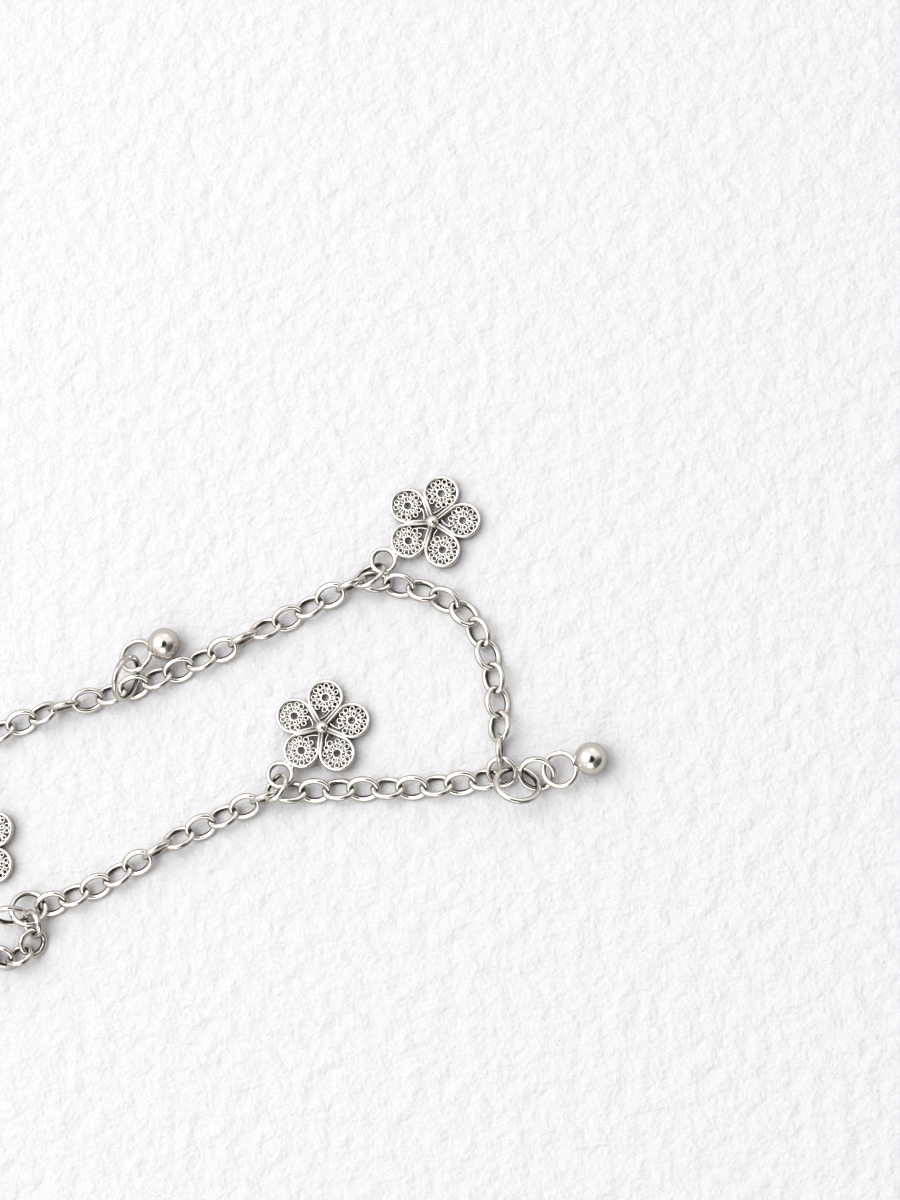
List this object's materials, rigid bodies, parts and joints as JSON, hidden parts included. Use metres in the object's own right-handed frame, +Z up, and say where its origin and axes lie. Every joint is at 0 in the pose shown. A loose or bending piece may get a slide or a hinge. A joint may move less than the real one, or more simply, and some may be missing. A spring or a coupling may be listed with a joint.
{
  "type": "charm bracelet",
  "caption": "Silver cable-chain bracelet laid loosely on a table, with pierced filigree flowers and polished balls on small rings, a spring ring clasp and a short extender",
  "frame": {"origin": "middle of the footprint, on the table", "axes": "+X along the loop's long way, from the clasp towards the corner ball, +Z up from the table"},
  "size_m": [0.0875, 0.0543, 0.0055],
  "materials": {
    "chain_silver": "polished silver wire",
    "ball_silver": "mirror-polished silver",
    "filigree_silver": "polished silver, darker in its recesses"
  },
  "bodies": {
    "root": {"chain_upper": "chain_silver", "chain_lower": "chain_silver", "extender_chain": "chain_silver", "extender_ring": "chain_silver", "extender_side_ring": "chain_silver", "clasp": "chain_silver", "corner_ring": "chain_silver", "charm_ring_corner_large": "chain_silver", "charm_ring_corner_small": "chain_silver", "ball_charm_corner": "ball_silver", "charm_ring_upper": "chain_silver", "ball_charm_upper": "ball_silver", "flower_link_upper": "chain_silver", "flower_link_lower": "chain_silver", "flower_link_end": "chain_silver", "flower_charm_upper": "filigree_silver", "flower_charm_lower": "filigree_silver", "flower_charm_end": "filigree_silver"}
  },
  "joints": []
}
